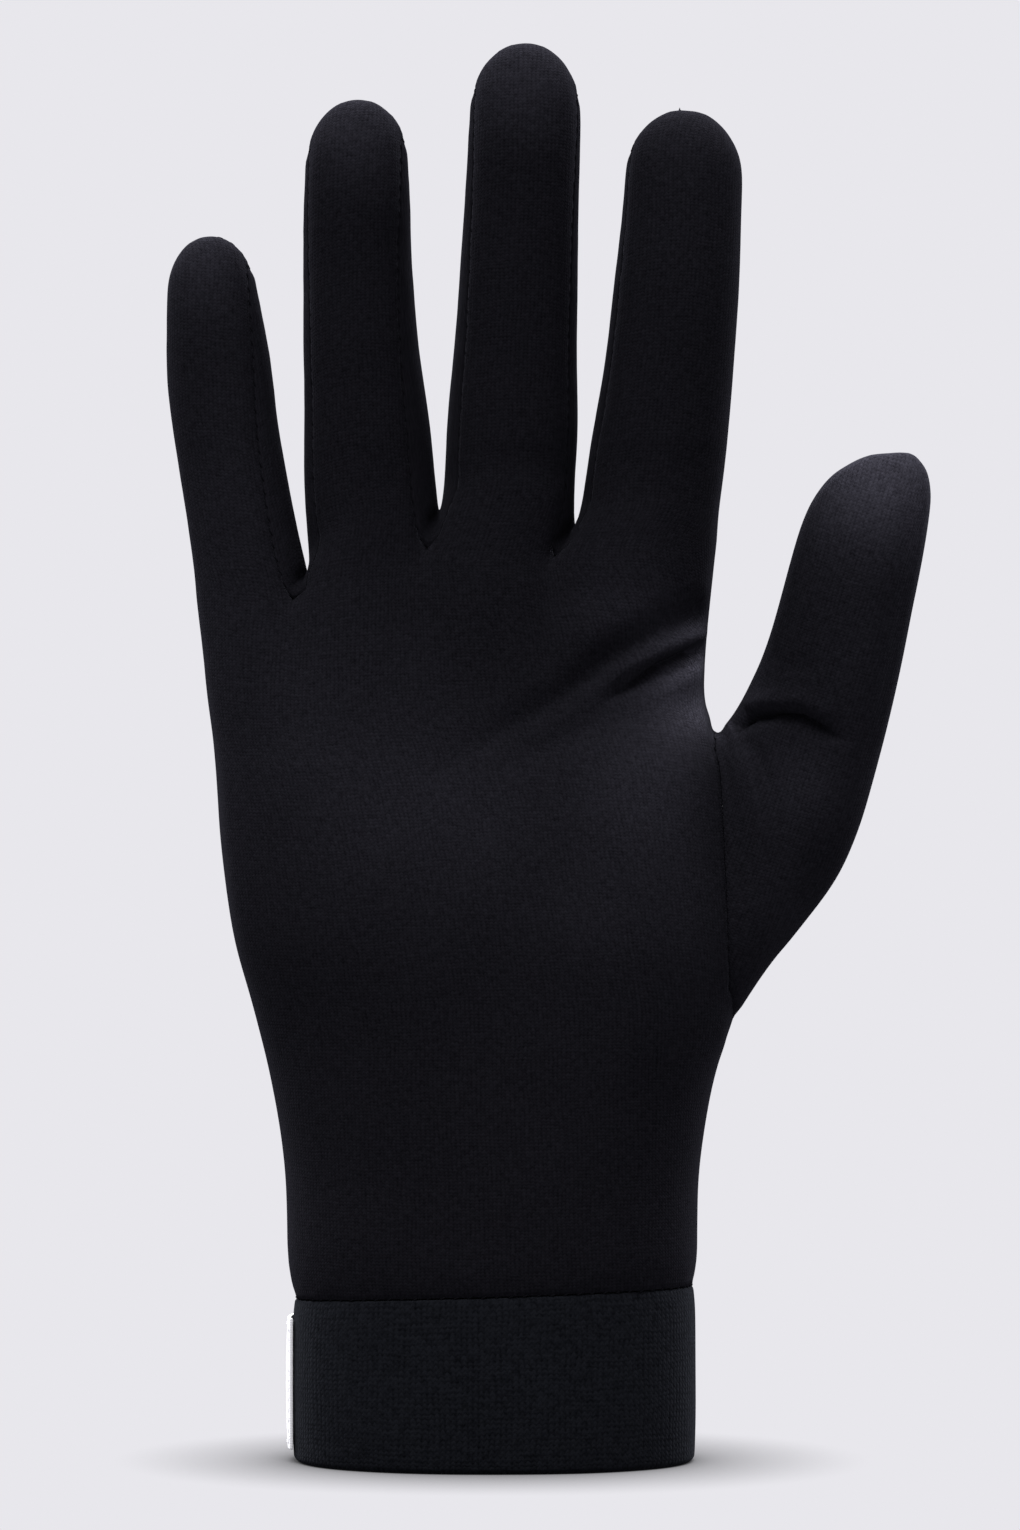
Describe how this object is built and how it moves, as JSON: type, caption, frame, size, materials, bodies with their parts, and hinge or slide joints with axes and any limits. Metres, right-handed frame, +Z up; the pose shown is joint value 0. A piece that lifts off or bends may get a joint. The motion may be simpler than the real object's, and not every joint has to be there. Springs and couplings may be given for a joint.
{
  "type": "glove liner",
  "caption": "Thin knitted right-hand glove liner in the open shape of a hand, with gores between the fingers, a set-in thumb and a doubled cuff band with a bare side label.",
  "frame": {"origin": "centre of the cuff's open end, where the hand goes in", "axes": "+Z up the fingers, palm towards -Y, thumb towards +X"},
  "size_m": [0.129, 0.0465, 0.24],
  "materials": {
    "jersey": "fine brushed jersey, near-black with a violet cast",
    "cuff_knit": "firmer doubled rib-free knit, near-black with a blue cast",
    "label_tape": "woven satin tape, grey with a white border, no lettering"
  },
  "bodies": {
    "root": {"palm_panel": "jersey", "back_panel": "jersey", "fourchette_little_ring": "jersey", "fourchette_ring_middle": "jersey", "fourchette_middle_index": "jersey", "thumb": "jersey", "cuff": "cuff_knit", "side_label": "label_tape"}
  },
  "joints": []
}
